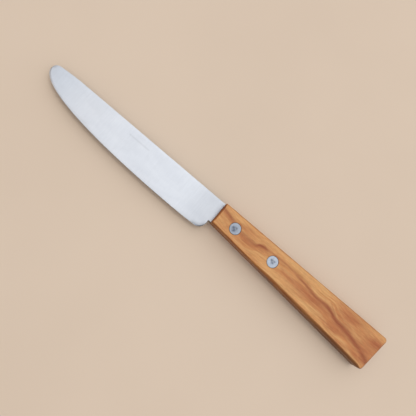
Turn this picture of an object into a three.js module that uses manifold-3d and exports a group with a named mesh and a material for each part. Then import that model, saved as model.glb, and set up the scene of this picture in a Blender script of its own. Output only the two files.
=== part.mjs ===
// A round-tipped bread-roll knife: a thin ground steel blade with a half tang, let into a saw
// kerf in a flared one-piece wooden handle and held there by two two-piece cutlery rivets.
//
// Millimetres. The knife lies on the flat side of its handle.
// X runs from the tip (-X) to the butt (+X), the spine faces +Y and the cutting edge -Y, +Z is up.
// While it is built, X = 0 is the handle's front end, Y = 0 the blade's spine and Z = 0 the
// handle's underside. The last step moves the whole knife so that the origin is the middle of
// its box, on its underside.

import * as THREE from 'three';
import { mergeVertices } from 'three/addons/utils/BufferGeometryUtils.js';
import Module from 'manifold-3d';

// ---- driving dimensions ----

const BLADE_LENGTH = 108.8;        // tip to the handle's front end
const HANDLE_LENGTH = 106;         // front end to the butt, along the spine side
const HANDLE_THICKNESS = 10.5;
const HANDLE_PROUD = 0.15;         // how far the wood stands above the blade's spine
const FRONT_EDGE_Y = -11.85;       // edge side of the handle at its front end
const BUTT_EDGE_Y = -20.7;         // edge side of the handle at the butt
const BUTT_SLANT = 0.13;           // the butt leans forward by this much for each mm down from the spine
const BUTT_CORNER = 1.6;           // how far each rounded corner of the butt reaches along its sides
const EASED_EDGE = 1;              // radius of the sanded edges of the wood

const STEEL_THICKNESS = 1.3;       // tang, neck and the spine at the handle
const TIP_THICKNESS = 0.8;         // spine at the tip
const EDGE_THICKNESS = 0.25;       // cutting edge
const GRIND_RUNOUT = [-6, 0];      // the grind fades to full thickness between these places along X

const TIP_RADIUS = 3.5;
const TIP_CENTRE_Y = -4.3;
const SPINE_DROP_START = -91.4;    // the spine is straight from the handle to here
const SPINE_DROP_ANGLE = 5.7;      // degrees the spine has dipped where it meets the tip's arc
const EDGE_START_ANGLE = 212.8;    // degrees round the tip's arc where the cutting edge begins
const EDGE_TIP_PULL = 11.3;        // how strongly the edge leaves the tip's arc along its tangent
const BELLY_Y = -18.3;             // lowest line of the cutting edge
const BELLY_X = [-59.3, -18.8];    // where the edge starts to flatten, and its lowest point
const HEEL_RADIUS = 4.2;
const HEEL_CENTRE = new THREE.Vector2(-5.7, -13.7);
const HEEL_START_ANGLE = -85.7;    // degrees round the heel's arc where it leaves the edge
const NECK_EDGE_Y = -11.7;         // lower edge of the short neck between heel and handle
const NOTCH_RADIUS = 0.4;

const TANG_LENGTH = 46;            // how far the steel runs into the handle
const TANG_END_RADIUS = 2;
const CLEARANCE = 0.15;            // gap on each side of a fitted piece
const KERF_END_GAP = 0.5;          // empty end of the saw kerf behind the tang

const RIVETS = [                   // where each rivet's axis crosses the handle
    { name: 'front_rivet', x: 11.05, y: -7.05 },
    { name: 'rear_rivet', x: 35.6, y: -7.6 },
];
const HEAD_RADIUS = 3;
const HEAD_HEIGHT = 1.3;
const HEAD_RECESS = 0.05;          // heads end this far below the wood
const DIMPLE_RADIUS = 1.4;
const DIMPLE_DEPTH = 0.25;
const TUBE_RADIUS = 1.75;          // shank of the hollow half
const BORE_RADIUS = 1.3;           // hole in the hollow half
const SHANK_RADIUS = 1.15;         // shank of the solid half
const SHANK_END_GAP = 0.6;         // room left at the blind end of the hollow half

const ARC_POINTS = 12;
const CURVE_POINTS = 36;
const ROUND_SEGMENTS = 32;
const GRIND_STATIONS = 72;
const BEVEL_SEGMENTS = 3;
const MERGE_TOLERANCE = 1e-3;     // corners closer than this are one corner

const MID_Z = HANDLE_THICKNESS / 2;
const { degToRad, lerp, mapLinear, smoothstep } = THREE.MathUtils;

const materials = {
    steel: new THREE.MeshStandardMaterial({ color: 0xcdd2d8, roughness: 0.38, metalness: 1 }),
    rivet: new THREE.MeshStandardMaterial({ color: 0xb0b7c0, roughness: 0.45, metalness: 1 }),
    wood: new THREE.MeshStandardMaterial({ color: 0xc8935c, roughness: 0.6, metalness: 0 }),
};

// ---- booleans ----

const wasm = await Module();
wasm.setup();

function toSolid(geometry) {
    const bare = geometry.index ? geometry.toNonIndexed() : geometry.clone();
    bare.deleteAttribute('normal');
    bare.deleteAttribute('uv');
    const merged = mergeVertices(bare, MERGE_TOLERANCE);
    return new wasm.Manifold(new wasm.Mesh({
        numProp: 3,
        vertProperties: Float32Array.from(merged.attributes.position.array),
        triVerts: Uint32Array.from(merged.index.array),
    }));
}

function toGeometry(solid) {
    const { vertProperties, triVerts } = solid.getMesh();
    const geometry = new THREE.BufferGeometry();
    geometry.setAttribute('position', new THREE.BufferAttribute(vertProperties, 3));
    geometry.setIndex(new THREE.BufferAttribute(triVerts, 1));
    geometry.computeVertexNormals();
    return geometry;
}

// ---- outlines ----

function onCircle(x, y, radius, degrees) {
    return new THREE.Vector2(
        x + radius * Math.cos(degToRad(degrees)),
        y + radius * Math.sin(degToRad(degrees)),
    );
}

const tipCentreX = TIP_RADIUS - BLADE_LENGTH;
const edgeStart = onCircle(tipCentreX, TIP_CENTRE_Y, TIP_RADIUS, EDGE_START_ANGLE);
const edgeStartTangent = new THREE.Vector2(0, 1)
    .rotateAround(new THREE.Vector2(), degToRad(EDGE_START_ANGLE));

// The cutting edge from the tip's arc to its lowest point, one smooth curve.
const cuttingEdge = new THREE.CubicBezierCurve(
    edgeStart,
    edgeStart.clone().addScaledVector(edgeStartTangent, EDGE_TIP_PULL),
    new THREE.Vector2(BELLY_X[0], BELLY_Y),
    new THREE.Vector2(BELLY_X[1], BELLY_Y),
);
const edgePoints = cuttingEdge.getPoints(CURVE_POINTS);

// The height of the cutting edge at any place along the blade.
function edgeY(x) {
    const next = edgePoints.findIndex((point) => point.x > x);
    if (next === 0) return edgePoints[0].y;
    if (next < 0) return BELLY_Y;
    const [a, b] = [edgePoints[next - 1], edgePoints[next]];
    return mapLinear(x, a.x, b.x, a.y, b.y);
}

// The edge side of the handle is one straight flare.
function handleEdgeY(x) {
    return mapLinear(x, 0, HANDLE_LENGTH, FRONT_EDGE_Y, BUTT_EDGE_Y);
}

// Blade, neck and tang in one outline, clockwise from the end of the tang along the spine.
function steelOutline() {
    const spineMeetsArc = onCircle(tipCentreX, TIP_CENTRE_Y, TIP_RADIUS, 90 + SPINE_DROP_ANGLE);
    const spineControlX = spineMeetsArc.x - spineMeetsArc.y / Math.tan(degToRad(SPINE_DROP_ANGLE));
    const heelStart = onCircle(HEEL_CENTRE.x, HEEL_CENTRE.y, HEEL_RADIUS, HEEL_START_ANGLE);
    const heelSlope = Math.tan(degToRad(90 + HEEL_START_ANGLE));
    const heelControlX = heelStart.x - (heelStart.y - BELLY_Y) / heelSlope;
    const heelX = HEEL_CENTRE.x + HEEL_RADIUS;
    const tangEndY = handleEdgeY(TANG_LENGTH) + CLEARANCE;

    const shape = new THREE.Shape();
    shape.moveTo(TANG_LENGTH - TANG_END_RADIUS, 0);
    shape.lineTo(SPINE_DROP_START, 0);
    shape.quadraticCurveTo(spineControlX, 0, spineMeetsArc.x, spineMeetsArc.y);
    shape.absarc(
        tipCentreX, TIP_CENTRE_Y, TIP_RADIUS,
        degToRad(90 + SPINE_DROP_ANGLE), degToRad(EDGE_START_ANGLE), false,
    );
    edgePoints.slice(1).forEach((point) => shape.lineTo(point.x, point.y));
    shape.quadraticCurveTo(heelControlX, BELLY_Y, heelStart.x, heelStart.y);
    shape.absarc(HEEL_CENTRE.x, HEEL_CENTRE.y, HEEL_RADIUS, degToRad(HEEL_START_ANGLE), 0, false);
    shape.lineTo(heelX, NECK_EDGE_Y - NOTCH_RADIUS);
    shape.absarc(
        heelX + NOTCH_RADIUS, NECK_EDGE_Y - NOTCH_RADIUS, NOTCH_RADIUS,
        Math.PI, Math.PI / 2, true,
    );
    shape.lineTo(0, NECK_EDGE_Y);
    shape.lineTo(TANG_LENGTH - TANG_END_RADIUS, tangEndY);
    shape.absarc(
        TANG_LENGTH - TANG_END_RADIUS, tangEndY + TANG_END_RADIUS, TANG_END_RADIUS,
        -Math.PI / 2, 0, false,
    );
    shape.absarc(
        TANG_LENGTH - TANG_END_RADIUS, -TANG_END_RADIUS, TANG_END_RADIUS,
        0, Math.PI / 2, false,
    );
    return shape;
}

function handleOutline() {
    const buttX = (y) => HANDLE_LENGTH + BUTT_SLANT * (y - HANDLE_PROUD);
    const corners = [
        new THREE.Vector2(0, HANDLE_PROUD),
        new THREE.Vector2(0, FRONT_EDGE_Y),
        new THREE.Vector2(buttX(BUTT_EDGE_Y), handleEdgeY(buttX(BUTT_EDGE_Y))),
        new THREE.Vector2(HANDLE_LENGTH, HANDLE_PROUD),
    ];
    const shape = new THREE.Shape();
    shape.moveTo(corners[0].x, corners[0].y);
    shape.lineTo(corners[1].x, corners[1].y);
    [2, 3].forEach((i) => {
        const corner = corners[i];
        const toPrevious = corners[i - 1].clone().sub(corner).setLength(BUTT_CORNER);
        const toNext = corners[(i + 1) % corners.length].clone().sub(corner).setLength(BUTT_CORNER);
        shape.lineTo(corner.x + toPrevious.x, corner.y + toPrevious.y);
        shape.quadraticCurveTo(corner.x, corner.y, corner.x + toNext.x, corner.y + toNext.y);
    });
    shape.closePath();
    return shape;
}

// ---- pieces ----

// The space that a flat grind leaves: a wedge from spine to cutting edge that follows the
// edge's curve, thins towards the tip, and fades to full thickness at the heel.
function grindEnvelope() {
    const margin = 0.6;
    const length = BLADE_LENGTH + TANG_LENGTH + 2 * margin;
    const box = new THREE.BoxGeometry(length, 2, 2, GRIND_STATIONS, 1, 1);
    const position = box.attributes.position;
    for (let i = 0; i < position.count; i += 1) {
        const x = position.getX(i) + length / 2 - BLADE_LENGTH - margin;
        const atSpine = position.getY(i) > 0;
        const spineThickness = mapLinear(Math.min(x, 0), -BLADE_LENGTH, 0, TIP_THICKNESS, STEEL_THICKNESS);
        const edgeThickness = lerp(EDGE_THICKNESS, STEEL_THICKNESS, smoothstep(x, ...GRIND_RUNOUT));
        const y = atSpine ? margin : edgeY(x) - margin;
        const halfThickness = (atSpine ? spineThickness : edgeThickness) / 2;
        position.setXYZ(i, x, y, MID_Z + Math.sign(position.getZ(i)) * halfThickness);
    }
    return box;
}

function rivetHoles(radius) {
    return RIVETS.map(({ x, y }) => {
        const hole = new THREE.CylinderGeometry(radius, radius, 3 * HANDLE_THICKNESS, ROUND_SEGMENTS);
        return toSolid(hole.rotateX(Math.PI / 2).translate(x, y, MID_Z));
    });
}

function bladeGeometry() {
    const blank = new THREE.ExtrudeGeometry(steelOutline(), {
        depth: STEEL_THICKNESS, bevelEnabled: false, curveSegments: ARC_POINTS,
    }).translate(0, 0, MID_Z - STEEL_THICKNESS / 2);
    const ground = toSolid(blank).intersect(toSolid(grindEnvelope()));
    return toGeometry(rivetHoles(TUBE_RADIUS + CLEARANCE).reduce((a, b) => a.subtract(b), ground));
}

function handleGeometry() {
    const block = new THREE.ExtrudeGeometry(handleOutline(), {
        depth: HANDLE_THICKNESS - 2 * EASED_EDGE,
        bevelThickness: EASED_EDGE,
        bevelSize: EASED_EDGE,
        bevelOffset: -EASED_EDGE,
        bevelSegments: BEVEL_SEGMENTS,
        curveSegments: ARC_POINTS / 2,
    }).translate(0, 0, EASED_EDGE);

    const kerfDepth = TANG_LENGTH + KERF_END_GAP;
    const kerfWidth = STEEL_THICKNESS + 2 * CLEARANCE;
    const reach = -2 * BUTT_EDGE_Y;
    const kerf = new THREE.BoxGeometry(2 * kerfDepth, 2 * reach, kerfWidth).translate(0, 0, MID_Z);

    const counterbores = RIVETS.flatMap(({ x, y }) => [0, HANDLE_THICKNESS].map((z) => {
        const radius = HEAD_RADIUS + CLEARANCE;
        const depth = HEAD_HEIGHT + HEAD_RECESS + CLEARANCE;
        const bore = new THREE.CylinderGeometry(radius, radius, 2 * depth, ROUND_SEGMENTS);
        return toSolid(bore.rotateX(Math.PI / 2).translate(x, y, z));
    }));

    const cuts = [toSolid(kerf), ...rivetHoles(TUBE_RADIUS + CLEARANCE), ...counterbores];
    return toGeometry(cuts.reduce((wood, cut) => wood.subtract(cut), toSolid(block)));
}

// A profile of [radius, height] pairs, from the axis and back to it, turned about Z.
function turned(profile) {
    const points = profile.map(([radius, height]) => new THREE.Vector2(radius, height));
    return new THREE.LatheGeometry(points, ROUND_SEGMENTS).rotateX(Math.PI / 2);
}

// The hollow half: its head is on the upper side and its tube points down.
function hollowRivetHalf() {
    const top = HANDLE_THICKNESS - HEAD_RECESS;
    const tubeEnd = HEAD_RECESS + HEAD_HEIGHT + 2 * CLEARANCE;
    return turned([
        [0, top - DIMPLE_DEPTH],
        [DIMPLE_RADIUS / 2, top - 0.8 * DIMPLE_DEPTH],
        [DIMPLE_RADIUS, top],
        [HEAD_RADIUS, top],
        [HEAD_RADIUS, top - HEAD_HEIGHT],
        [TUBE_RADIUS, top - HEAD_HEIGHT],
        [TUBE_RADIUS, tubeEnd],
        [BORE_RADIUS, tubeEnd],
        [BORE_RADIUS, top - HEAD_HEIGHT],
        [0, top - HEAD_HEIGHT],
    ].reverse());
}

// The solid half: its head is on the underside and its shank points up into the tube.
function solidRivetHalf() {
    const shankEnd = HANDLE_THICKNESS - HEAD_RECESS - HEAD_HEIGHT - SHANK_END_GAP;
    return turned([
        [0, HEAD_RECESS + DIMPLE_DEPTH],
        [DIMPLE_RADIUS / 2, HEAD_RECESS + 0.8 * DIMPLE_DEPTH],
        [DIMPLE_RADIUS, HEAD_RECESS],
        [HEAD_RADIUS, HEAD_RECESS],
        [HEAD_RADIUS, HEAD_RECESS + HEAD_HEIGHT],
        [SHANK_RADIUS, HEAD_RECESS + HEAD_HEIGHT],
        [SHANK_RADIUS, shankEnd],
        [0, shankEnd],
    ]);
}

// ---- assembly ----

function piece(name, geometry, material) {
    const mesh = new THREE.Mesh(geometry, material.clone());
    mesh.name = name;
    return mesh;
}

const knife = new THREE.Group();
knife.add(piece('blade', bladeGeometry(), materials.steel));
knife.add(piece('handle', handleGeometry(), materials.wood));
RIVETS.forEach(({ name, x, y }) => {
    const rivet = new THREE.Group();
    rivet.position.set(x, y, 0);
    rivet.add(piece(`${name}_hollow_half`, hollowRivetHalf(), materials.rivet));
    rivet.add(piece(`${name}_solid_half`, solidRivetHalf(), materials.rivet));
    knife.add(rivet);
});

const box = new THREE.Box3().setFromObject(knife, true);
const middle = box.getCenter(new THREE.Vector3());
knife.position.set(-middle.x, -middle.y, -box.min.z);

const group = new THREE.Group();
group.add(knife);

export default group;
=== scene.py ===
"""A round-tipped bread-roll knife: ground steel blade, flared wooden handle, two cutlery rivets.

Shapes are worked out in millimetres in the knife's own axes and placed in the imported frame, in
metres. Knife axes: X = 0 is the handle's front end, Y = 0 the blade's spine, Z = 0 the handle's
underside. The tip points to -X and the cutting edge faces -Y.
"""

import math

import bmesh
import bpy
import numpy as np
from mathutils import Matrix, Vector, noise
from mathutils.geometry import delaunay_2d_cdt


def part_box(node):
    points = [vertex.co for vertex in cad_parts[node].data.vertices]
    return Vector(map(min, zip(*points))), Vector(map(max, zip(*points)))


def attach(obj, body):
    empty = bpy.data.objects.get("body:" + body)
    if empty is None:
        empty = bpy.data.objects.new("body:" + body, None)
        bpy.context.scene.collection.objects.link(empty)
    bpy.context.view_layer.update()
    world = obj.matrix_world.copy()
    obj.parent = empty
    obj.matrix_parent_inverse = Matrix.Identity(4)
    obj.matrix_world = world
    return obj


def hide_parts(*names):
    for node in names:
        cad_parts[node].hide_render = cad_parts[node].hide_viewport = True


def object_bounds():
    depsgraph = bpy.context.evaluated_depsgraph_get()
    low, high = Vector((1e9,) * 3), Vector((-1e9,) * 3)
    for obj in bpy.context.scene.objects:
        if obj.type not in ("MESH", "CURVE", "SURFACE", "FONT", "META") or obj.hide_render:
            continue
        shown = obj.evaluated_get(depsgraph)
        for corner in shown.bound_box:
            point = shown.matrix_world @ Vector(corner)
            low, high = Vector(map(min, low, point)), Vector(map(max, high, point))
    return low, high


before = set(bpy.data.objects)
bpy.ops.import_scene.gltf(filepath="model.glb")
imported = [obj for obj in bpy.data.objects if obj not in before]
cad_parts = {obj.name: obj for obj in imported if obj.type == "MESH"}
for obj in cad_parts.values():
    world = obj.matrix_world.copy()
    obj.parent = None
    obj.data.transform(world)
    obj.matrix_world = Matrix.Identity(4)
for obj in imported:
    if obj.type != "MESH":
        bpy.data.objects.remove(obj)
cad_low, cad_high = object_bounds()

MM = 0.001

# ---- sizes, in millimetres ----

BLADE_LENGTH = 108.79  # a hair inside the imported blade
HANDLE_LENGTH = 106.0
HANDLE_THICKNESS = 10.5
HANDLE_PROUD = 0.15  # wood above the spine
FRONT_EDGE_Y = -11.85
BUTT_EDGE_Y = -20.7
BUTT_SLANT = 0.13
MID_Z = HANDLE_THICKNESS / 2

STEEL_THICKNESS = 1.3
TIP_THICKNESS = 0.8
EDGE_THICKNESS = 0.25
GRIND_RUNOUT = (-6.0, 0.0)
GRIND_MARGIN = 0.6  # the grind's planes are set out from this far outside the outline

TIP_RADIUS = 3.5
TIP_CENTRE = (TIP_RADIUS - BLADE_LENGTH, -4.3)
SPINE_DROP_START = -91.4
SPINE_DROP_ANGLE = 5.7
EDGE_START_ANGLE = 212.8
EDGE_TIP_PULL = 11.3
BELLY_Y = -18.3
BELLY_X = (-59.3, -18.8)
HEEL_RADIUS = 4.2
HEEL_CENTRE = (-5.7, -13.7)
HEEL_START_ANGLE = -85.7
NECK_EDGE_Y = -11.7
NOTCH_RADIUS = 0.4

TANG_LENGTH = 46.0
TANG_END_RADIUS = 2.0
TANG_INSET = 0.15  # steel below the wood on the edge side

ARRIS = 0.12  # broken edges of the steel
ARRIS_MIDDLE = 0.29  # how far in the middle of a rounded edge lies, in parts of its radius
BEVEL_WIDTH = 0.7  # the honed bevel along the cutting edge
BEVEL_TIP = 0.03  # half the steel's thickness at the very edge
ETCHED_BAR = (-52.4, -4.3)  # middle of the faint plain bar on the upper face

KERF_DEPTH = 46.5
KERF_GAP = 0.03  # on each side of the tang
KERF_X = (-5.0, KERF_DEPTH)  # the cutter starts clear of the wood
KERF_Y = (-40.0, 10.0)  # and passes right through it
WOOD_ROUND = (0.9, 2.0)  # least and most radius of the sanded edges
FRONT_CORNER = 0.6  # plan radius of the handle's corners
BUTT_CORNER = 1.7
CORNER_STEPS = 8
ROUND_STEPS = 7
ROUND_SUPPORT = 0.05  # width of the flat strips that hold the rounding's shading

RIVETS = (
    ("front_rivet", 11.05, -7.05),
    ("rear_rivet", 35.6, -7.6),
)
HEAD_RADIUS = 3.0
HEAD_HEIGHT = 1.3
HEAD_RECESS = 0.05
HEAD_GAP = 0.05  # between a head and the wood round it
HEAD_RIM = 0.16  # radius of the head's rounded rim
RECESS_LIP = 0.09  # width of the broken edge round each recess
RECESS_CLEARANCE = 0.03  # below a head
DISH_RADIUS = 1.45
DISH_DEPTH = 0.32
TUBE_RADIUS = 1.75
TUBE_CLEARANCE = 0.3  # between the tube's end and the other head
SHANK_CLEARANCE = 0.6  # between the shank's end and the bottom of the bore
BORE_RADIUS = 1.3
SHANK_RADIUS = 1.15
HOLE_RADIUS = 1.9
HOLE_SEGMENTS = 32
RIVET_SEEDS = (3.7, 9.0)
RIVET_BRIGHTNESS = (0.95, 1.15)  # the rear heads are brighter
RIVET_SCUFFS_AND_DISH_SHADE = (  # dark marks on each head, scuffs and painted shade in the front head's dish: place from its middle, reach and strength
    ((-0.20, -0.95, 1.1, 1.0), (-1.1, -0.10, 0.8, 1.0), (0.6, 0.6, 0.6, 0.4)),
    ((-0.90, 0.50, 0.65, 0.9), (0.30, -0.50, 0.75, 0.9), (0.85, 0.65, 0.50, 0.7)),
)

ORIGIN = Vector((
    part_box("handle")[0].x,
    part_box("handle")[1].y - HANDLE_PROUD * MM,
    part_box("handle")[0].z,
))


def place(x, y, z):
    """A point in knife millimetres, as a point in the frame."""
    return ORIGIN + Vector((x, y, z)) * MM


def lerp(a, b, t):
    return a + (b - a) * t


def smoothstep(low, high, value):
    t = min(max((value - low) / (high - low), 0.0), 1.0)
    return t * t * (3 - 2 * t)


def on_circle(centre, radius, degrees):
    angle = math.radians(degrees)
    return (centre[0] + radius * math.cos(angle), centre[1] + radius * math.sin(angle))


def arc(centre, radius, start, end, count):
    return [on_circle(centre, radius, lerp(start, end, i / count)) for i in range(count + 1)]


def line(a, b, step):
    count = max(1, round(math.dist(a, b) / step))
    return [(lerp(a[0], b[0], i / count), lerp(a[1], b[1], i / count)) for i in range(count + 1)]


def bezier(controls, count):
    """Points along a Bezier curve of any degree."""
    points = []
    for i in range(count + 1):
        row = list(controls)
        while len(row) > 1:
            row = [(lerp(a[0], b[0], i / count), lerp(a[1], b[1], i / count))
                   for a, b in zip(row, row[1:])]
        points.append(row[0])
    return points


def handle_edge_y(x):
    return lerp(FRONT_EDGE_Y, BUTT_EDGE_Y, x / HANDLE_LENGTH)


# ---- mesh helpers ----

def new_object(name, vertices, faces, smooth_degrees=40):
    """A mesh object from knife millimetres, smooth except across angles above smooth_degrees."""
    mesh = bpy.data.meshes.new(name)
    mesh.from_pydata([place(*v) for v in vertices], [], faces)
    bm = bmesh.new()
    bm.from_mesh(mesh)
    bmesh.ops.remove_doubles(bm, verts=bm.verts, dist=1e-8)
    bmesh.ops.recalc_face_normals(bm, faces=bm.faces)
    bm.to_mesh(mesh)
    bm.free()
    obj = bpy.data.objects.new(name, mesh)
    bpy.context.scene.collection.objects.link(obj)
    shade(mesh, smooth_degrees)
    return obj


def shade(mesh, smooth_degrees):
    mesh.shade_smooth()
    mesh.set_sharp_from_angle(angle=math.radians(smooth_degrees))


def cut(obj, cutters, smooth_degrees):
    """Cuts each cutter out of obj and removes it."""
    for cutter in cutters:
        modifier = obj.modifiers.new("cut", "BOOLEAN")
        modifier.operation = "DIFFERENCE"
        modifier.solver = "EXACT"
        modifier.object = cutter
    bpy.context.view_layer.update()
    graph = bpy.context.evaluated_depsgraph_get()
    mesh = bpy.data.meshes.new_from_object(obj.evaluated_get(graph))
    obj.modifiers.clear()
    obj.data = mesh
    for cutter in cutters:
        bpy.data.objects.remove(cutter)
    shade(mesh, smooth_degrees)


def turned(name, profile, x, y, segments=64, smooth_degrees=40):
    """A profile of (radius, height) pairs, from the axis and back to it, turned about Z."""
    vertices, rings = [], []
    for radius, height in profile:
        count = 1 if radius == 0 else segments
        rings.append([len(vertices) + i for i in range(count)])
        for i in range(count):
            angle = 2 * math.pi * i / segments
            vertices.append((x + radius * math.cos(angle), y + radius * math.sin(angle), height))
    faces = []
    for a, b in zip(rings, rings[1:]):
        for i in range(segments):
            j = (i + 1) % segments
            corners = [a[i % len(a)], a[j % len(a)], b[j % len(b)], b[i % len(b)]]
            faces.append(list(dict.fromkeys(corners)))
    return new_object(name, vertices, faces, smooth_degrees)


def bridge(faces, ring_a, ring_b):
    for i in range(len(ring_a)):
        j = (i + 1) % len(ring_a)
        faces.append((ring_a[i], ring_a[j], ring_b[j], ring_b[i]))


# ---- blade ----

def cutting_edge():
    """The curve of the cutting edge from the tip to the belly's lowest point."""
    start = on_circle(TIP_CENTRE, TIP_RADIUS, EDGE_START_ANGLE)
    angle = math.radians(EDGE_START_ANGLE)
    pulled = (start[0] - EDGE_TIP_PULL * math.sin(angle), start[1] + EDGE_TIP_PULL * math.cos(angle))
    return bezier([start, pulled, (BELLY_X[0], BELLY_Y), (BELLY_X[1], BELLY_Y)], 150)


EDGE_CURVE = cutting_edge()
EDGE_XS = [x for x, _ in EDGE_CURVE]
EDGE_YS = [y for _, y in EDGE_CURVE]


def edge_y(x):
    return float(np.interp(x, EDGE_XS, EDGE_YS))


def steel_outline():
    """(x, y, how much this place is cutting edge from 0 to 1), anticlockwise from the tang."""
    meets = on_circle(TIP_CENTRE, TIP_RADIUS, 90 + SPINE_DROP_ANGLE)
    spine_control = (meets[0] - meets[1] / math.tan(math.radians(SPINE_DROP_ANGLE)), 0)
    heel_start = on_circle(HEEL_CENTRE, HEEL_RADIUS, HEEL_START_ANGLE)
    heel_slope = math.tan(math.radians(90 + HEEL_START_ANGLE))
    heel_control = (heel_start[0] - (heel_start[1] - BELLY_Y) / heel_slope, BELLY_Y)
    heel_x = HEEL_CENTRE[0] + HEEL_RADIUS
    tang_end_y = handle_edge_y(TANG_LENGTH) + TANG_INSET
    tang_x = TANG_LENGTH - TANG_END_RADIUS

    plain, edge = [], []

    def add(points, weights=None):
        for i, point in enumerate(points):
            if plain and math.dist(plain[-1], point) < 1e-4:
                continue
            plain.append(point)
            edge.append(weights[i] if weights else 0.0)

    add(line((tang_x, 0), (0, 0), 4))
    add(line((0, 0), (SPINE_DROP_START, 0), 1.5))
    add(bezier([(SPINE_DROP_START, 0), spine_control, meets], 14))
    tip_count = 28
    tip_angles = [lerp(90 + SPINE_DROP_ANGLE, EDGE_START_ANGLE, i / tip_count)
                  for i in range(tip_count + 1)]
    add([on_circle(TIP_CENTRE, TIP_RADIUS, a) for a in tip_angles],
        [smoothstep(140, 205, a) for a in tip_angles])
    add(EDGE_CURVE, [1.0] * len(EDGE_CURVE))
    add(bezier([EDGE_CURVE[-1], heel_control, heel_start], 10), [1.0] * 11)
    heel_angles = [lerp(HEEL_START_ANGLE, 0, i / 24) for i in range(25)]
    add([on_circle(HEEL_CENTRE, HEEL_RADIUS, a) for a in heel_angles],
        [1 - smoothstep(-80, -25, a) for a in heel_angles])
    add(line((heel_x, HEEL_CENTRE[1]), (heel_x, NECK_EDGE_Y - NOTCH_RADIUS), 0.5))
    add(arc((heel_x + NOTCH_RADIUS, NECK_EDGE_Y - NOTCH_RADIUS), NOTCH_RADIUS, 180, 90, 6))
    add(line((heel_x + NOTCH_RADIUS, NECK_EDGE_Y), (0, NECK_EDGE_Y), 0.5))
    add(line((0, NECK_EDGE_Y), (tang_x, tang_end_y), 4))
    add(arc((tang_x, tang_end_y + TANG_END_RADIUS), TANG_END_RADIUS, -90, 0, 8))
    add(arc((tang_x, -TANG_END_RADIUS), TANG_END_RADIUS, 0, 90, 8))
    if math.dist(plain[-1], plain[0]) < 1e-4:
        plain.pop()
        edge.pop()
    return np.array(plain), np.array(edge)


def thickness(x, y):
    """How thick the ground steel is at a place in plan."""
    spine = lerp(TIP_THICKNESS, STEEL_THICKNESS, (min(x, 0) + BLADE_LENGTH) / BLADE_LENGTH)
    fade = smoothstep(*GRIND_RUNOUT, x)
    edge = lerp(EDGE_THICKNESS, STEEL_THICKNESS, fade)
    low = edge_y(x) - GRIND_MARGIN
    t = (y - low) / (GRIND_MARGIN - low)
    return min(lerp(edge, spine, t), STEEL_THICKNESS)


def inward_normals(points):
    following = np.roll(points, -1, 0) - points
    before = points - np.roll(points, 1, 0)
    following /= np.linalg.norm(following, axis=1)[:, None]
    before /= np.linalg.norm(before, axis=1)[:, None]
    tangent = following + before
    tangent /= np.linalg.norm(tangent, axis=1)[:, None]
    return np.stack([-tangent[:, 1], tangent[:, 0]], 1)


def inside(points, polygon):
    """Which points lie in the polygon."""
    x, y = points[:, 0][:, None], points[:, 1][:, None]
    ax, ay = polygon[:, 0], polygon[:, 1]
    bx, by = np.roll(ax, -1), np.roll(ay, -1)
    crosses = (ay > y) != (by > y)
    at = ax + (y - ay) * (bx - ax) / np.where(by == ay, 1e-9, by - ay)
    return (crosses & (x < at)).sum(1) % 2 == 1


def blade_inner_points(border, holes):
    """Points across the flat of the steel, close together where the grind runs out."""
    columns = np.concatenate([
        np.arange(-BLADE_LENGTH + 1, -7, 1.5),
        np.arange(-7, 1.5, 0.5),
        np.arange(3, TANG_LENGTH, 4),
    ])
    rows = np.arange(-17.6, 0, 1.6)
    grid = np.array([(x, y) for x in columns for y in rows])
    grid = grid[inside(grid, border)]
    clear = np.linalg.norm(grid[:, None] - border[None], axis=2).min(1) > 0.6
    for centre in holes:
        clear &= np.linalg.norm(grid - np.array(centre), axis=1) > HOLE_RADIUS + 0.8
    return grid[clear]


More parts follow.
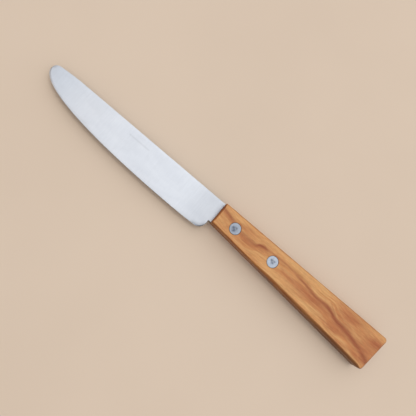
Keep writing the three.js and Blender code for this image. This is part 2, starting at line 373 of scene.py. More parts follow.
def make_blade():
    outline, edge = steel_outline()
    normals = inward_normals(outline)
    middle_inset = np.array([lerp(ARRIS_MIDDLE * ARRIS, BEVEL_WIDTH / 2, w) for w in edge])
    inner_inset = np.array([lerp(ARRIS, BEVEL_WIDTH, w) for w in edge])
    middle = outline + normals * middle_inset[:, None]
    inner = outline + normals * inner_inset[:, None]

    half_inner = np.array([thickness(*p) / 2 for p in inner])
    rim_plain = np.array([thickness(*p) / 2 - ARRIS for p in outline])
    half_rim = rim_plain * (1 - edge) + BEVEL_TIP * edge
    round_middle = half_inner - ARRIS_MIDDLE * ARRIS
    half_middle = round_middle * (1 - edge) + (half_inner + half_rim) / 2 * edge

    centres = [(x, y) for _, x, y in RIVETS]
    hole_loops = [arc(c, HOLE_RADIUS, 0, 360, HOLE_SEGMENTS)[:-1] for c in centres]
    grid = blade_inner_points(inner, centres)
    flat = [Vector(p) for p in inner]
    for loop in hole_loops:
        flat += [Vector(p) for p in loop]
    flat += [Vector(p) for p in grid]
    n = len(outline)
    edges = []
    for k in range(len(hole_loops)):
        start = n + HOLE_SEGMENTS * k
        edges += [(start + i, start + (i + 1) % HOLE_SEGMENTS) for i in range(HOLE_SEGMENTS)]
    border = list(range(n))
    points, _, triangles, origin, _, _ = delaunay_2d_cdt(flat, edges, [border], 1, 1e-5)
    where = {}
    for new, old in enumerate(origin):
        for i in old:
            where[i] = new
    kept = []
    for triangle in triangles:
        centre = sum((points[i] for i in triangle), Vector((0, 0))) / 3
        if all((centre - Vector(c)).length > HOLE_RADIUS * 0.99 for c in centres):
            kept.append(triangle)

    vertices, faces = [], []
    for side in (1, -1):
        base = len(vertices)
        half = [thickness(*p) / 2 for p in points]
        vertices += [(p[0], p[1], MID_Z + side * h) for p, h in zip(points, half)]
        faces += [[base + i for i in triangle] for triangle in kept]
        inner_ring = [base + where[i] for i in range(n)]
        middle_ring = [len(vertices) + i for i in range(n)]
        vertices += [(p[0], p[1], MID_Z + side * h) for p, h in zip(middle, half_middle)]
        rim = [len(vertices) + i for i in range(n)]
        vertices += [(p[0], p[1], MID_Z + side * h) for p, h in zip(outline, half_rim)]
        bridge(faces, inner_ring, middle_ring)
        bridge(faces, middle_ring, rim)
        holes = []
        for k in range(len(hole_loops)):
            start = n + HOLE_SEGMENTS * k
            holes.append([base + where[start + i] for i in range(HOLE_SEGMENTS)])
        if side == 1:
            upper_rim, upper_holes = rim, holes
    bridge(faces, upper_rim, rim)
    for a, b in zip(upper_holes, holes):
        bridge(faces, a, b)
    obj = new_object("blade_ground", vertices, faces, 30)
    mark_bevel(obj, outline, edge)
    return obj


def mark_bevel(obj, outline, edge):
    """Gives the honed bevel its own material index and a crisp upper line."""
    cutting = outline[edge > 0.6]
    cutting = np.array([tuple(place(x, y, 0))[:2] for x, y in cutting])
    bm = bmesh.new()
    bm.from_mesh(obj.data)
    for face in bm.faces:
        centre = face.calc_center_median()
        distance = np.linalg.norm(cutting - np.array(centre[:2]), axis=1).min()
        face.material_index = int(distance < BEVEL_WIDTH * 0.85 * MM and abs(face.normal.z) < 0.9999)
    for seam in bm.edges:
        if len(seam.link_faces) == 2:
            a, b = seam.link_faces
            if a.material_index != b.material_index:
                seam.smooth = False
    bm.to_mesh(obj.data)
    bm.free()


# ---- handle ----

def handle_ring(inset):
    """The handle's outline, shrunk by inset, with rounded corners. Rings of any inset match."""
    butt_x = HANDLE_LENGTH + BUTT_SLANT * (BUTT_EDGE_Y - HANDLE_PROUD)
    corners = np.array([
        (0, HANDLE_PROUD),
        (0, FRONT_EDGE_Y),
        (butt_x, handle_edge_y(butt_x)),
        (HANDLE_LENGTH, HANDLE_PROUD),
    ])
    radii = (FRONT_CORNER, FRONT_CORNER, BUTT_CORNER, BUTT_CORNER)
    count = len(corners)
    directions = [corners[(i + 1) % count] - corners[i] for i in range(count)]
    directions = [d / np.linalg.norm(d) for d in directions]
    normals = [np.array((-d[1], d[0])) for d in directions]
    points = []
    arcs = []
    for i in range(count):
        before, after = directions[i - 1], directions[i]
        offset_a = corners[i] + normals[i - 1] * inset
        offset_b = corners[i] + normals[i] * inset
        along = np.linalg.solve(np.stack([before, -after], 1), offset_b - offset_a)[0]
        corner = offset_a + before * along
        radius = max(radii[i] - inset, 0.12)
        turn = math.acos(np.clip(before @ after, -1, 1))
        reach = radius * math.tan(turn / 2)
        start, end = corner - before * reach, corner + after * reach
        centre = start + normals[i - 1] * radius
        first = math.atan2(*(start - centre)[::-1])
        arcs.append([
            tuple(centre + radius * np.array((math.cos(first + turn * k / CORNER_STEPS),
                                              math.sin(first + turn * k / CORNER_STEPS))))
            for k in range(CORNER_STEPS + 1)
        ])
    steps = (6, 60, 10, 60)
    for i in range(count):
        points += arcs[i]
        a, b = np.array(arcs[i][-1]), np.array(arcs[(i + 1) % count][0])
        points += [tuple(lerp(a, b, k / steps[i])) for k in range(1, steps[i])]
    return points


def sanded_radius(x, y):
    """How far the wood is rounded over: more on the edge side from the rear rivet back."""
    edge_side = smoothstep(-9, -11, y)
    between = smoothstep(0, 2.5, -y) * smoothstep(0, 2.5, y - FRONT_EDGE_Y)
    front = between * (1 - smoothstep(0.2, 3, x))
    wide = edge_side * smoothstep(24, 44, x) * (1 - smoothstep(99.5, 102.5, x))
    hand = 0.07 * noise.noise(Vector((x * 0.09, y * 0.15, 2.0)))
    return lerp(*WOOD_ROUND, max(wide, 0.35 * front)) + hand


def make_handle():
    outer = np.array(handle_ring(0))
    inner = np.array(handle_ring(1))
    inward = inner - outer
    radii = np.array([sanded_radius(*p) for p in outer])
    rows = []  # inset and depth below the upper face, in parts of the radius, then in mm
    rows.append((1.0, 0.0, ROUND_SUPPORT, 0.0))
    for k in range(ROUND_STEPS + 1):
        angle = math.pi / 2 * k / ROUND_STEPS
        rows.append((1 - math.sin(angle), 1 - math.cos(angle), 0.0, 0.0))
    rows.append((0.0, 1.0, 0.0, ROUND_SUPPORT))
    upper = []
    for part_in, part_down, extra_in, extra_down in rows:
        inset = radii * part_in + extra_in
        depth = radii * part_down + extra_down
        plan = outer + inward * inset[:, None]
        upper.append([(p[0], p[1], HANDLE_THICKNESS - d) for p, d in zip(plan, depth)])
    lower = [[(x, y, HANDLE_THICKNESS - z) for x, y, z in ring] for ring in reversed(upper)]
    vertices, faces, rings = [], [], []
    for ring in upper + lower:
        rings.append([len(vertices) + i for i in range(len(ring))])
        vertices += ring
    for a, b in zip(rings, rings[1:]):
        bridge(faces, a, b)
    faces += [rings[0], rings[-1]]
    obj = new_object("handle_carved", vertices, faces, 35)

    low_z = MID_Z - STEEL_THICKNESS / 2 - KERF_GAP
    high_z = MID_Z + STEEL_THICKNESS / 2 + KERF_GAP
    box = [(x, y, z) for x in KERF_X for y in KERF_Y for z in (low_z, high_z)]
    sides = [(0, 1, 3, 2), (4, 6, 7, 5), (0, 4, 5, 1), (2, 3, 7, 6), (0, 2, 6, 4), (1, 5, 7, 3)]
    kerf = new_object("kerf_cutter", box, sides)
    cutters = [kerf]
    bore = HEAD_RADIUS + HEAD_GAP
    depth = HEAD_RECESS + HEAD_HEIGHT + RECESS_CLEARANCE
    lip = RECESS_LIP
    for name, x, y in RIVETS:
        below = [(0, -1), (bore + lip + 1, -1), (bore, lip), (bore, depth), (HOLE_RADIUS, depth)]
        profile = below + [(r, HANDLE_THICKNESS - h) for r, h in reversed(below)]
        cutters.append(turned(name + "_cutter", profile, x, y))
    cut(obj, cutters, 35)
    return obj


# ---- rivets ----

def head_profile(top):
    """A dished head with a softly rounded rim, from the axis outwards, its face at top."""
    dish = []
    for k in range(13):
        t = k / 12
        dish.append((DISH_RADIUS * t, top - DISH_DEPTH * (0.5 + 0.5 * math.cos(math.pi * t))))
    rim = HEAD_RIM
    face = [(2.0, top), (HEAD_RADIUS - rim, top)]
    rim_angles = [math.radians(degrees) for degrees in (22.5, 45, 67.5, 90)]
    rounded = [(HEAD_RADIUS - rim + rim * math.sin(a), top - rim * (1 - math.cos(a)))
               for a in rim_angles]
    return dish + face + rounded


def make_rivet(name, x, y):
    """The hollow half with its head on the upper side, and the solid half from below."""
    top = HANDLE_THICKNESS - HEAD_RECESS
    neck = top - HEAD_HEIGHT
    tube_end = HEAD_RECESS + HEAD_HEIGHT + TUBE_CLEARANCE
    hollow = head_profile(top) + [
        (HEAD_RADIUS, neck), (TUBE_RADIUS, neck), (TUBE_RADIUS, tube_end),
        (BORE_RADIUS, tube_end), (BORE_RADIUS, neck), (0, neck),
    ]
    bottom = HEAD_RECESS + HEAD_HEIGHT
    shank_end = neck - SHANK_CLEARANCE
    solid = [(r, HANDLE_THICKNESS - h) for r, h in head_profile(top)] + [
        (HEAD_RADIUS, bottom), (SHANK_RADIUS, bottom), (SHANK_RADIUS, shank_end), (0, shank_end),
    ]
    return (
        turned(name + "_hollow_half_dished", hollow, x, y),
        turned(name + "_solid_half_dished", solid, x, y),
    )


# ---- materials ----

def srgb(r, g, b):
    """Display colour from 0 to 255, as linear RGBA."""
    linear = [c / 12.92 if c <= 0.04045 else ((c + 0.055) / 1.055) ** 2.4
              for c in (v / 255 for v in (r, g, b))]
    return (*linear, 1.0)


STEEL_COLOURS = ((0.600, 0.608, 0.628, 1), (0.650, 0.654, 0.668, 1))
STEEL_TIP_REFLECTION_TINT = (0.575, 0.61, 0.66, 1)  # painted bluish reflection, towards the tip
BEVEL_COLOURS = ((0.60, 0.61, 0.64, 1), (0.50, 0.51, 0.54, 1))
# painted shade on the bevel at the heel
BEVEL_HEEL_SHADE = (0.29, 0.31, 0.35, 1)
RIVET_COLOURS = ((0.29, 0.315, 0.355, 1), (0.42, 0.445, 0.485, 1))
# scuffs, and painted shade in the front head's dish
RIVET_SCUFF_AND_SHADE_COLOUR = (0.13, 0.145, 0.18, 1)
WOOD_LIGHT = srgb(203, 155, 99)
WOOD_AMBER = srgb(187, 127, 74)
WOOD_REDDISH = srgb(157, 86, 48)
WOOD_BROWN = srgb(138, 73, 41)
# edge wear and painted highlight
WOOD_WEAR_AND_HIGHLIGHT = srgb(226, 180, 122)
WOOD_EDGE_SHADE_TINT = (0.64, 0.50, 0.39, 1)  # painted shade on the eased edges
CUTTING_SIDE_SHADE_TINT = (0.52, 0.54, 0.58, 1)  # painted shade on the cutting-edge side
END_GRAIN_TINT = (0.80, 0.72, 0.68, 1)


class Graph:
    """A material's node tree, with one call for each kind of node."""

    def __init__(self, name):
        self.material = bpy.data.materials.new(name)
        self.material.use_nodes = True
        self.tree = self.material.node_tree
        self.shader = self.tree.nodes["Principled BSDF"]

    def node(self, kind, inputs, **settings):
        node = self.tree.nodes.new(kind)
        for key, value in settings.items():
            setattr(node, key, value)
        for key, value in inputs.items():
            self.put(node.inputs[key], value)
        return node

    def put(self, socket, value):
        if isinstance(value, bpy.types.NodeSocket):
            self.tree.links.new(value, socket)
        else:
            socket.default_value = value

    def math(self, operation, a, b=0.0, c=0.0):
        node = self.node("ShaderNodeMath", {0: a, 1: b, 2: c}, operation=operation)
        return node.outputs[0]

    def total(self, *terms):
        result = terms[0]
        for term in terms[1:]:
            result = self.math("ADD", result, term)
        return result

    def product(self, *factors):
        result = factors[0]
        for factor in factors[1:]:
            result = self.math("MULTIPLY", result, factor)
        return result

    def remap(self, value, from_low, from_high, to_low=0.0, to_high=1.0, smooth=True):
        node = self.node(
            "ShaderNodeMapRange",
            {0: value, 1: from_low, 2: from_high, 3: to_low, 4: to_high},
            interpolation_type="SMOOTHSTEP" if smooth else "LINEAR",
        )
        return node.outputs[0]

    def hump(self, value, width):
        """1 where value is 0, falling to 0 a few widths away."""
        scaled = self.math("DIVIDE", value, width)
        squared = self.product(scaled, scaled, -1.0)
        return self.math("EXPONENT", squared)

    def mix(self, factor, a, b, blend="MIX"):
        node = self.node("ShaderNodeMix", {0: factor, 6: a, 7: b}, data_type="RGBA", blend_type=blend)
        return node.outputs[2]

    def grey(self, value):
        return self.node("ShaderNodeCombineColor", {0: value, 1: value, 2: value}).outputs[0]

    def knife_point(self):
        """The surface point in knife millimetres, as a vector and as x, y and z."""
        object_point = self.node("ShaderNodeTexCoord", {}).outputs["Object"]
        node = self.node(
            "ShaderNodeVectorMath",
            {0: object_point, 1: (1 / MM,) * 3, 2: tuple(-ORIGIN / MM)},
            operation="MULTIPLY_ADD",
        )
        parts = self.node("ShaderNodeSeparateXYZ", {0: node.outputs[0]})
        return node.outputs[0], parts.outputs[0], parts.outputs[1], parts.outputs[2]

    def stretched(self, vector, scale, offset=(0, 0, 0)):
        node = self.node(
            "ShaderNodeVectorMath", {0: vector, 1: scale, 2: offset}, operation="MULTIPLY_ADD",
        )
        return node.outputs[0]

    def noise(self, vector, detail=3.0, roughness=0.55, distortion=0.0):
        """Smooth noise around 0.5 that changes about once per unit of the vector."""
        node = self.node("ShaderNodeTexNoise", {
            "Vector": vector, "Scale": 1.0, "Detail": detail,
            "Roughness": roughness, "Distortion": distortion,
        })
        return node.outputs[0]

    def curve(self, value, points, x_range, y_range):
        """A smooth curve through (x, y) points, for any x in x_range."""
        place_in = self.remap(value, *x_range, smooth=False)
        node = self.node("ShaderNodeFloatCurve", {"Value": place_in})
        mapped = [((x - x_range[0]) / (x_range[1] - x_range[0]),
                   (y - y_range[0]) / (y_range[1] - y_range[0])) for x, y in points]
        shape = node.mapping.curves[0]
        shape.points[0].location = mapped[0]
        shape.points[-1].location = mapped[-1]
        for point in mapped[1:-1]:
            shape.points.new(*point)
        node.mapping.update()
        return self.remap(node.outputs[0], 0.0, 1.0, *y_range, smooth=False)

    def bump(self, height, distance_mm, strength=1.0, normal=None):
        inputs = {"Height": height, "Distance": distance_mm * MM, "Strength": strength}
        if normal is not None:
            inputs["Normal"] = normal
        return self.node("ShaderNodeBump", inputs).outputs[0]

    def finish(self, **inputs):
        for key, value in inputs.items():
            self.put(self.shader.inputs[key.replace("_", " ")], value)
        return self.material


def steel_material():
    """Satin steel scratched from spine to edge, with faint smears and a faint plain bar.

    Painted reflection makes it darker and bluer towards the tip, and painted shade darkens it towards
    the heel, at the rounded heel and round the notch.
    """
    g = Graph("satin_steel")
    point, x, y, z = g.knife_point()
    across = g.noise(g.stretched(point, (5.0, 0.12, 0.3)), 4, 0.7)
    fine = g.noise(g.stretched(point, (14.0, 0.35, 0.8), (7, 3, 0)), 2, 0.6)
    cloud = g.noise(g.stretched(point, (0.035, 0.09, 0.2), (11, 2, 0)), 3, 0.5, 0.6)
    smear = g.noise(g.stretched(point, (0.16, 0.3, 0.5), (3, 8, 0)), 4, 0.6, 1.0)
    tint = g.remap(cloud, 0.3, 0.7)
    colour = g.mix(tint, *STEEL_COLOURS)
    streaks_and_shade = g.product(g.remap(across, 0.3, 0.7, 0.935, 1.03), g.remap(fine, 0.3, 0.7, 0.97, 1.02))
    # painted reflection: the steel is darker towards the tip
    tip_reflection_dimming = g.remap(g.total(x, g.product(cloud, 20.0)), -100, -55, 0.92, 1.0)
    # painted shade: the steel is darker towards the heel
    heel_shade_dimming = g.remap(g.total(x, g.product(cloud, 6.0)), -18, -3, 1.0, 0.88)
    # painted shade: the rounded heel is darkened towards its outline
    from_heel = g.node(
        "ShaderNodeVectorMath", {0: point, 1: (*HEEL_CENTRE, MID_Z)}, operation="DISTANCE",
    ).outputs["Value"]
    at_heel = g.product(g.remap(x, HEEL_CENTRE[0] - 3, HEEL_CENTRE[0] + 1),
                        g.remap(y, HEEL_CENTRE[1] + 1, HEEL_CENTRE[1] - 2))
    heel_fade = g.total(g.product(g.remap(from_heel, 1.6, HEEL_RADIUS), 0.34),
                        g.product(g.remap(from_heel, HEEL_RADIUS - 0.9, HEEL_RADIUS), 0.42))
    heel_shade = g.math("SUBTRACT", 1.0, g.product(at_heel, heel_fade))
    normal = g.node("ShaderNodeNewGeometry", {}).outputs["Normal"]
    facing = g.math("ABSOLUTE", g.node("ShaderNodeSeparateXYZ", {0: normal}).outputs[2])
    # painted shade: the steel's side faces round the notch are darkened
    near_notch = g.product(g.remap(x, -10, -6), g.remap(x, 0.2, 0.0))
    rim = g.math("SUBTRACT", 1.0, g.product(near_notch, g.remap(facing, 0.3, 0.8, 0.7, 0.0)))
    # scratch streaks combined with the painted reflection and painted shade
    streaks_and_shade = g.product(streaks_and_shade, tip_reflection_dimming, heel_shade_dimming, heel_shade, rim)
    bar_length = g.remap(g.math("ABSOLUTE", g.math("ADD", x, -ETCHED_BAR[0])), 6.0, 7.0, 1.0, 0.0)
    bar_width = g.remap(g.math("ABSOLUTE", g.math("ADD", y, -ETCHED_BAR[1])), 0.30, 0.55, 1.0, 0.0)
    bar = g.product(bar_length, bar_width, g.remap(z, MID_Z, MID_Z + 0.1))
    streaks_and_shade = g.product(streaks_and_shade, g.remap(bar, 0.0, 1.0, 1.0, 0.92))
    streaks_and_shade_grey = g.grey(streaks_and_shade)
    # painted reflection: the steel turns bluer towards the tip
    colour = g.mix(g.remap(x, -78, -106, 0.0, 0.6), colour, STEEL_TIP_REFLECTION_TINT)
    colour = g.mix(1.0, colour, streaks_and_shade_grey, "MULTIPLY")
    roughness = g.total(g.remap(across, 0.3, 0.7, 0.36, 0.44), g.remap(smear, 0.45, 0.75, 0.0, 0.05))
    height = g.total(g.product(across, 0.6), g.product(fine, 0.4))
    return g.finish(
        Base_Color=colour, Metallic=1.0, Roughness=roughness,
        Normal=g.bump(height, 0.012, 0.5),
    )


def bevel_material():
    """The honed bevel: smoother, scratched along the edge, darkened at the heel with painted shade."""
    g = Graph("honed_edge")
    point, x, _, _ = g.knife_point()
    along = g.noise(g.stretched(point, (0.5, 9.0, 9.0)), 3, 0.6)
    nick = g.noise(g.stretched(point, (1.6, 1.6, 1.6), (5, 0, 0)), 2)
    colour = g.mix(g.remap(nick, 0.4, 0.7), *BEVEL_COLOURS)
    # painted shade: the bevel darkens towards the heel
    colour = g.mix(g.remap(x, -9.0, -4.0), colour, BEVEL_HEEL_SHADE)
    return g.finish(
        Base_Color=colour, Metallic=1.0, Roughness=g.remap(along, 0.3, 0.7, 0.22, 0.34),
        Normal=g.bump(along, 0.01, 0.5),
    )


def rivet_material(name, x0, y0, seed, brightness, scuffs_and_shade):
    """Scuffed aluminium with fine scratches in two directions, dark marks on the head that are scuffs
    and painted shade in the front head's dish, and painted shade on its rim.
    """
    g = Graph(name)
    point, x, y, _ = g.knife_point()
    lengthwise = g.noise(g.stretched(point, (0.9, 5.5, 1.0), (seed, 0, 0)), 4, 0.7, 0.8)
    crosswise = g.noise(g.stretched(point, (4.5, 1.1, 1.0), (0, seed, 0)), 3, 0.65, 0.8)
    blot = g.noise(g.stretched(point, (1.3, 1.3, 1.3), (seed, seed, 0)), 3, 0.6, 0.5)
    scuff = g.remap(g.product(lengthwise, crosswise, 4.0), 0.7, 1.4)
    colour = g.mix(scuff, *RIVET_COLOURS)
    # dark marks: scuffs, and on the front head painted shade in its dish
    for dx, dy, reach, strength in scuffs_and_shade:
        u = g.hump(g.math("ADD", x, -x0 - dx), reach)
        v = g.hump(g.math("ADD", y, -y0 - dy), reach)
        scuff_and_shade = g.product(u, v, strength, g.remap(blot, 0.3, 0.65, 0.5, 1.3))
        colour = g.mix(scuff_and_shade, colour, RIVET_SCUFF_AND_SHADE_COLOUR)
    from_axis = g.node("ShaderNodeVectorMath", {
        0: g.stretched(point, (1, 1, 0)), 1: (x0, y0, 0),
    }, operation="DISTANCE").outputs["Value"]
    # painted shade: the head's rounded rim is darkened
    rim_shade_tone = g.product(g.remap(from_axis, HEAD_RADIUS - 0.3, HEAD_RADIUS, 1.0, 0.4), brightness)
    colour = g.mix(1.0, colour, g.grey(rim_shade_tone), "MULTIPLY")
    roughness = g.total(g.remap(lengthwise, 0.3, 0.7, 0.3, 0.5),
                        g.remap(crosswise, 0.4, 0.7, 0.0, 0.08))
    height = g.total(g.product(lengthwise, 0.5), g.product(crosswise, 0.5))
    return g.finish(
        Base_Color=colour, Metallic=1.0, Roughness=roughness,
        Normal=g.bump(height, 0.03, 0.6),
    )


VEIN = (
    (-2, -2.5), (1, -3.1), (5, -3.9), (9, -5.1), (12, -6.0), (15, -6.9), (19, -7.5), (23, -7.0),
    (26, -5.3), (29, -4.7), (33, -4.3), (39, -4.1), (47, -4.5), (54, -5.5), (60, -6.6),
    (65.5, -7.3), (71, -7.2), (76.5, -8.8), (80, -9.8), (86, -10.4), (91, -11.7), (97, -13.3),
    (103, -15.8), (108, -18.0),
)
VEIN_STRENGTH = (
    (-2, 0.45), (6, 0.6), (12, 0.4), (17, 0.4), (23, 0.4), (26, 1.0), (29, 0.9), (33, 0.5),
    (40, 0.45), (47, 0.5), (54, 0.75), (60, 0.75), (66, 0.7), (72, 0.9), (77, 1.0), (81, 0.9),
    (86, 0.75), (91, 0.95), (97, 0.85), (103, 0.75), (108, 0.6),
)
VEIN_WIDTH = (
    (-2, 0.9), (8, 1.0), (16, 1.4), (22, 1.2), (26, 0.75), (30, 0.65), (38, 0.6), (54, 0.7),
    (66, 0.9), (72, 0.85), (77, 1.1), (84, 1.3), (91, 1.15), (103, 1.3), (108, 1.3),
)
REDDISH_ZONES = (  # middle x, middle y, reach in x, reach in y, strength
    (62, -9.6, 13, 2.2, 0.80),
    (45, -8.6, 9, 1.2, 0.30),
    (84, -4.0, 11, 3.4, 0.62),
    (102, -6.0, 7, 2.6, 0.92),
    (82, -11.2, 9, 1.8, 0.55),
    (78, -13.6, 9, 1.6, 0.70),
    (100, -12.4, 6, 2.0, 0.60),
    (99, -16.0, 8, 1.4, 0.60),
    (17, -2.3, 3, 0.8, 0.60),
    (20, -7.4, 9, 1.6, 0.45),
    (4, -4.6, 5, 1.0, 0.30),
    (5, -10.6, 6, 1.0, 0.30),
)
LIGHT_ZONES = (
    (50, -10.8, 9, 1.2, 0.60),
    (56, -13.4, 14, 1.2, 0.55),
    (48, -1.9, 22, 1.5, 0.70),
    (36, -11.2, 9, 1.6, 0.50),
    (90, -8.6, 5, 1.2, 0.50),
    (9, -2.0, 8, 1.0, 0.60),
    (5, -7.6, 4, 1.4, 0.45),
)


def wood_material():
    """Oiled olive wood: amber, with one dark vein, rings that follow it, fine fibres and pores.

    Painted shade darkens its eased edges, most on the sides turned from the light, and its
    cutting-edge side towards the butt; edge wear and a painted highlight lighten a line where the
    edges start to round; its end grain, at the butt and front, is toned darker.
    """
    g = Graph("olive_wood")
    point, x, y, z = g.knife_point()
    drift = g.noise(g.stretched(point, (0.05, 0.16, 0.12)), 2)
    wobble = g.noise(g.stretched(point, (0.30, 0.5, 0.4), (4, 1, 9)), 3)
    warp = g.total(g.remap(drift, 0.2, 0.8, -0.9, 0.9), g.remap(wobble, 0.2, 0.8, -0.35, 0.35))
    vein_y = g.curve(x, VEIN, (-2, 108), (-20, 0))
    lean = g.product(g.math("SUBTRACT", z, HANDLE_THICKNESS), 0.3)
    ring = g.total(y, g.product(vein_y, -1.0), lean, warp)

    ring_point = g.node("ShaderNodeCombineXYZ", {0: g.product(ring, 0.75), 1: g.product(x, 0.02)})
    rings = g.noise(ring_point.outputs[0], 4, 0.6)
    fibre = g.noise(g.stretched(point, (0.10, 2.6, 2.6), (0, 5, 3)), 4, 0.65)
    fleck = g.noise(g.stretched(point, (0.35, 6.5, 6.5), (9, 2, 7)), 2, 0.5)
    patch = g.noise(g.stretched(point, (0.055, 0.22, 0.22), (2, 6, 4)), 3, 0.5)

    colour = g.mix(g.remap(rings, 0.32, 0.68), WOOD_LIGHT, WOOD_AMBER)
    colour = g.mix(g.product(g.remap(patch, 0.42, 0.7), 0.5), colour, WOOD_REDDISH)

    def zone(middle_x, middle_y, reach_x, reach_y, strength):
        across = g.math("ADD", y, g.product(warp, 0.8))
        u = g.hump(g.math("SUBTRACT", x, middle_x), reach_x)
        v = g.hump(g.math("SUBTRACT", across, middle_y), reach_y)
        return g.product(u, v, strength, g.remap(fibre, 0.25, 0.7, 0.75, 1.1))

    for values in REDDISH_ZONES:
        colour = g.mix(zone(*values), colour, WOOD_REDDISH)
    for values in LIGHT_ZONES:
        colour = g.mix(zone(*values), colour, WOOD_LIGHT)

    strength = g.curve(x, VEIN_STRENGTH, (-2, 108), (0, 1))
    width = g.curve(x, VEIN_WIDTH, (-2, 108), (0, 2))
    vein_shift = g.total(y, g.product(vein_y, -1.0), lean, g.product(warp, 0.35))
    vein = g.product(g.hump(vein_shift, width), strength, g.remap(fibre, 0.2, 0.7, 0.7, 1.1))
    colour = g.mix(g.product(vein, 1.15), colour, WOOD_BROWN)
    halo = g.product(g.hump(g.math("ADD", vein_shift, 0.9), g.product(width, 2.2)), strength)
    colour = g.mix(g.product(halo, 0.38), colour, WOOD_REDDISH)
    fork_line = g.total(y, g.product(g.math("SUBTRACT", x, 71.8), 0.62), 4.6)
    fork_ends = g.product(g.remap(x, 70.5, 72.5), g.remap(x, 77.5, 76.0))
    fork = g.product(g.hump(fork_line, 0.38), fork_ends, 0.4)
    colour = g.mix(fork, colour, WOOD_BROWN)

    mottle = g.noise(g.stretched(point, (0.55, 1.9, 1.9), (1, 8, 6)), 5, 0.75, 0.4)
    grain = g.remap(fibre, 0.25, 0.75, 1.13, 0.85)
    pore = g.remap(fleck, 0.60, 0.74, 1.0, 0.78)
    tone = g.product(grain, pore, g.remap(mottle, 0.3, 0.7, 1.09, 0.90))
    colour = g.mix(1.0, colour, g.grey(tone), "MULTIPLY")

    normal = g.node("ShaderNodeNewGeometry", {}).outputs["Normal"]
    parts = g.node("ShaderNodeSeparateXYZ", {0: normal})
    facing = g.math("ABSOLUTE", parts.outputs[2])
    # painted shade: eased edges are darkened, most on the sides turned away from the light
    turned_from_light = g.node("ShaderNodeVectorMath", {0: normal, 1: (-0.5, -0.85, 0.0)},
                     operation="DOT_PRODUCT").outputs["Value"]
    shaded_side_weight = g.remap(turned_from_light, -0.5, 0.05, 0.35, 1.0)
    painted_edge_shade = g.product(g.remap(facing, 0.88, 0.995, 1.0, 0.0), shaded_side_weight)
    colour = g.mix(painted_edge_shade, colour, WOOD_EDGE_SHADE_TINT, "MULTIPLY")
    # a light line where the edges start to round: edge wear and a painted highlight
    wear_and_highlight = g.product(g.hump(g.math("ADD", facing, -0.985), 0.006), g.remap(mottle, 0.35, 0.6))
    colour = g.mix(g.product(wear_and_highlight, 0.45), colour, WOOD_WEAR_AND_HIGHLIGHT)
    # painted shade: faces turned to the cutting-edge side, away from the light, grow darker towards
    # the butt
    edge_side = g.remap(g.product(parts.outputs[1], -1.0), 0.1, 0.7)
    cutting_side_shade = g.product(edge_side, g.remap(x, 15, 95, 0.0, 1.0))
    colour = g.mix(cutting_side_shade, colour, CUTTING_SIDE_SHADE_TINT, "MULTIPLY")
    end_grain = g.remap(g.math("ABSOLUTE", parts.outputs[0]), 0.3, 0.95, 0.0, 1.0)
    colour = g.mix(end_grain, colour, END_GRAIN_TINT, "MULTIPLY")

    roughness = g.total(g.remap(fibre, 0.25, 0.75, 0.42, 0.56), g.remap(fleck, 0.6, 0.75, 0.0, 0.15))
    height = g.total(g.product(fibre, -0.6), g.remap(fleck, 0.6, 0.75, 0.0, -0.8))
    return g.finish(
        Base_Color=colour, Roughness=roughness, IOR=1.46, Specular_IOR_Level=0.36,
        Normal=g.bump(height, 0.06, 0.6),
    )


def floor_material():
    """A plain pale surface with the faintest mottling."""
    g = Graph("pale_floor")
    coordinates = g.node("ShaderNodeTexCoord", {}).outputs["Object"]
    cloud = g.noise(g.stretched(coordinates, (9.0, 9.0, 9.0)), 3)
    tooth = g.noise(g.stretched(coordinates, (900.0, 900.0, 900.0)), 2)
    colour = g.mix(g.remap(cloud, 0.3, 0.7), *FLOOR_COLOURS)
    return g.finish(Base_Color=colour, Roughness=0.75, Normal=g.bump(tooth, 0.05, 0.3))


# ---- camera, in knife millimetres: its field of view and tilt are assumed ----

CAMERA_PLACE = (-14.0, -41.3, 224.9)
CAMERA_AIM = (-5.3, -6.3, 0.0)
CAMERA_TURN = 39.8  # degrees from the knife's own width to the picture's upright
FIELD_OF_VIEW = 50.0


def make_camera():
    camera = bpy.data.cameras.new("camera")
    camera.sensor_width = 36.0
    camera.lens = 18.0 / math.tan(math.radians(FIELD_OF_VIEW / 2))
    camera.clip_start = 0.005
    obj = bpy.data.objects.new("camera", camera)
    bpy.context.scene.collection.objects.link(obj)
    back = (Vector(CAMERA_PLACE) - Vector(CAMERA_AIM)).normalized()
    lean = math.radians(CAMERA_TURN)
    right = Vector((-math.sin(lean), math.cos(lean), 0.0)).cross(back).normalized()
    turn = Matrix((right, back.cross(right), back)).transposed()
    obj.matrix_world = Matrix.Translation(place(*CAMERA_PLACE)) @ turn.to_4x4()
    bpy.context.scene.camera = obj


# ---- stage ----

FLOOR_COLOURS = (srgb(202, 183, 163), srgb(205, 186, 166))
FLOOR_HALF = 3.0
FLOOR_GAP = 0.00003  # keeps the floor just below the knife

SKY_DIRECTION = (0.20, 0.36, 1.0)
SKY_STOPS = (  # part of the way from directly opposite the bright side to the bright side
    (0.30, (0.15, 0.095, 0.06)),
    (0.52, (0.23, 0.17, 0.12)),
    (0.75, (0.41, 0.38, 0.35)),
    (0.90, (0.86, 0.89, 0.94)),
    (1.0, (0.93, 0.965, 1.015)),
)
SKY_STRENGTH = 1.5
KEY_PLACE = (0.14, 0.25, 1.15)
KEY_SIZE = 0.36
KEY_POWER = 2.5
KEY_COLOUR = (1.0, 0.96, 0.90)


def make_floor():
    mesh = bpy.data.meshes.new("floor")
    bm = bmesh.new()
    bmesh.ops.create_grid(bm, x_segments=8, y_segments=8, size=FLOOR_HALF)
    bm.to_mesh(mesh)
    bm.free()
    obj = bpy.data.objects.new("floor", mesh)
    obj.location = (0, 0, cad_low.z - FLOOR_GAP)
    bpy.context.scene.collection.objects.link(obj)
    mesh.materials.append(floor_material())


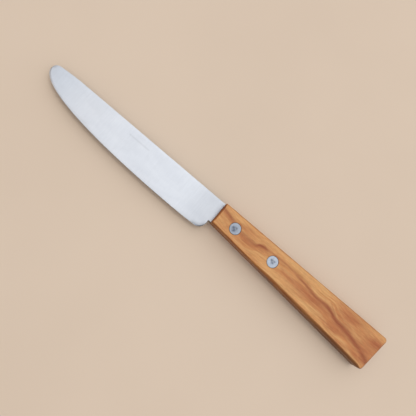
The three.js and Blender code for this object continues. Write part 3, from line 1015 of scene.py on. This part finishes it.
def area_light(name, centre, size, power, colour):
    """A disk of light aimed at the knife. Reflections leave it out."""
    light = bpy.data.lights.new(name, "AREA")
    light.shape = "DISK"
    light.size = size
    light.energy = power
    light.color = colour
    obj = bpy.data.objects.new(name, light)
    bpy.context.scene.collection.objects.link(obj)
    obj.location = centre
    obj.visible_glossy = False
    obj.rotation_mode = "QUATERNION"
    obj.rotation_quaternion = (-Vector(centre)).to_track_quat("-Z", "Y")


def make_light():
    """A soft sky, cool and bright overhead and to one side, dim and warm opposite, and a key light."""
    world = bpy.data.worlds.new("studio")
    world.use_nodes = True
    tree = world.node_tree
    direction = tree.nodes.new("ShaderNodeTexCoord")
    towards = tree.nodes.new("ShaderNodeVectorMath")
    towards.operation = "DOT_PRODUCT"
    towards.inputs[1].default_value = Vector(SKY_DIRECTION).normalized()
    ramp = tree.nodes.new("ShaderNodeValToRGB")
    ramp.color_ramp.interpolation = "EASE"
    spread = tree.nodes.new("ShaderNodeMapRange")
    spread.inputs["From Min"].default_value = -1.0
    tree.links.new(direction.outputs["Generated"], towards.inputs[0])
    tree.links.new(towards.outputs["Value"], spread.inputs["Value"])
    tree.links.new(spread.outputs["Result"], ramp.inputs["Fac"])
    stops = ramp.color_ramp.elements
    stops[0].position, stops[0].color = SKY_STOPS[0][0], (*SKY_STOPS[0][1], 1)
    stops[1].position, stops[1].color = SKY_STOPS[-1][0], (*SKY_STOPS[-1][1], 1)
    for position, colour in SKY_STOPS[1:-1]:
        stops.new(position).color = (*colour, 1)
    background = tree.nodes["Background"]
    background.inputs["Strength"].default_value = SKY_STRENGTH
    tree.links.new(ramp.outputs["Color"], background.inputs["Color"])
    bpy.context.scene.world = world
    area_light("overhead", KEY_PLACE, KEY_SIZE, KEY_POWER, KEY_COLOUR)


# ---- assembly ----

def finish_piece(obj, node, slot, *materials):
    for material in materials:
        obj.data.materials.append(material)
    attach(obj, "root")
    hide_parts(node)


make_camera()
finish_piece(make_blade(), "blade", "blade_steel", steel_material(), bevel_material())
finish_piece(make_handle(), "handle", "handle_wood", wood_material())
for i, (name, x, y) in enumerate(RIVETS):
    metal = rivet_material(
        name + "_metal", x, y, RIVET_SEEDS[i], RIVET_BRIGHTNESS[i], RIVET_SCUFFS_AND_DISH_SHADE[i],
    )
    hollow, solid = make_rivet(name, x, y)
    finish_piece(hollow, name + "_hollow_half", "rivet_metal", metal)
    finish_piece(solid, name + "_solid_half", "rivet_metal", metal)
make_floor()
make_light()
bpy.context.scene.view_settings.view_transform = "Standard"
